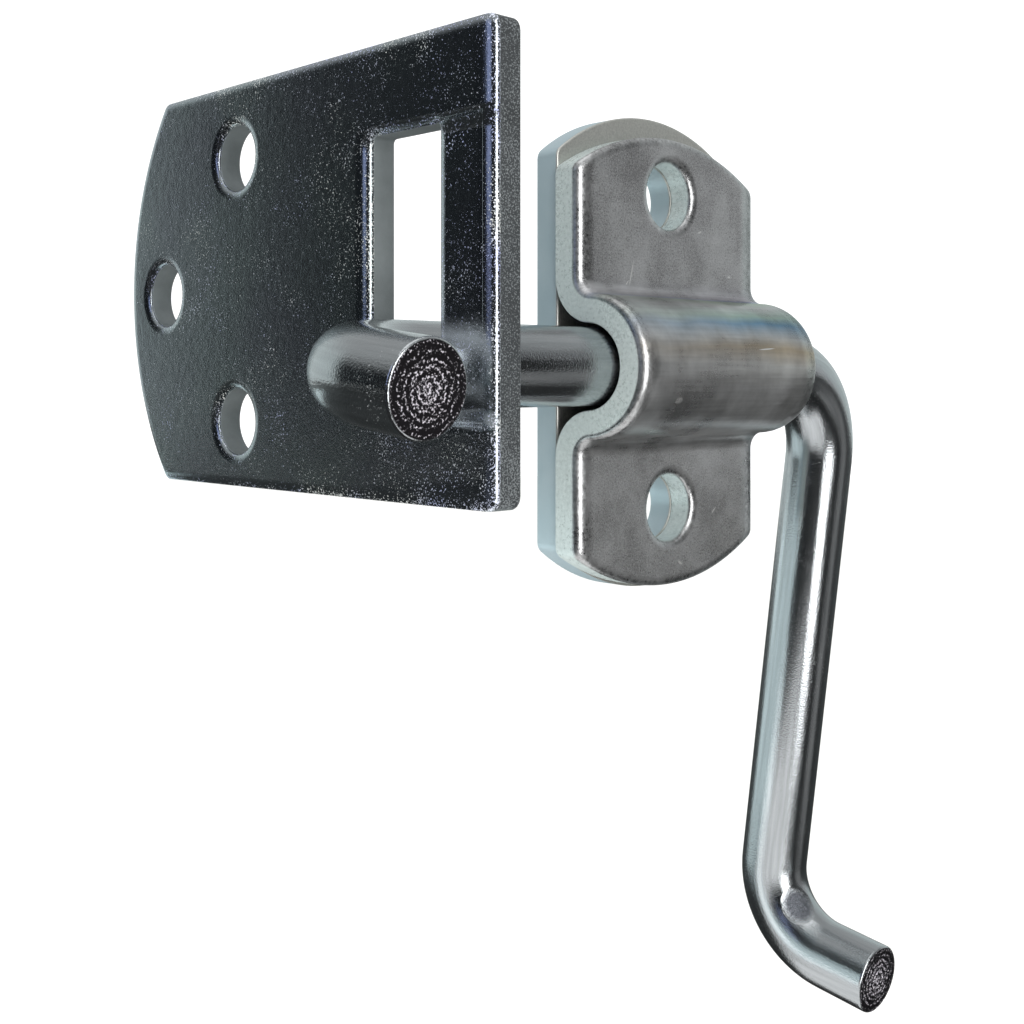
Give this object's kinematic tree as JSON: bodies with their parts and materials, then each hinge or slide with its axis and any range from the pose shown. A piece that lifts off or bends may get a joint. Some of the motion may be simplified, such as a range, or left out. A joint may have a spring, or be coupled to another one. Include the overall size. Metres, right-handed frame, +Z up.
{
  "type": "gate corner latch",
  "caption": "Bolt-on corner gate latch: a bent round bar turns in a domed strap housing and its hook passes through a tall window in a flat strike plate.",
  "frame": {"origin": "on the housing's mounting face, midway between its two bolt holes", "axes": "+X along the bar's shaft from the hook to the arm, +Y into the gate panel, +Z up"},
  "size_m": [0.1376, 0.1027, 0.1677],
  "materials": {
    "plate_zinc": "bright zinc-plated steel plate",
    "strap_zinc": "bright zinc-plated steel, fine grain, pressed",
    "bar_zinc": "bright zinc-plated steel rod, drawn",
    "strike_zinc": "bright zinc-plated steel plate, fine speckle"
  },
  "bodies": {
    "housing": {"back_plate": "plate_zinc", "clamp_strap": "strap_zinc"},
    "bar": {"latch_bar": "bar_zinc"},
    "strike": {"strike_plate": "strike_zinc"}
  },
  "joints": [
    {"name": "bar_turn", "type": "hinge", "parent": "housing", "child": "bar", "pos_m": [0, -0.01166, -0.0027], "axis": [1, 0, 0], "range_deg": [-175, 0]},
    {"name": "strike_gap", "type": "slide", "parent": "housing", "child": "strike", "axis": [1, 0, 0], "range_m": [0, 0.03]}
  ]
}
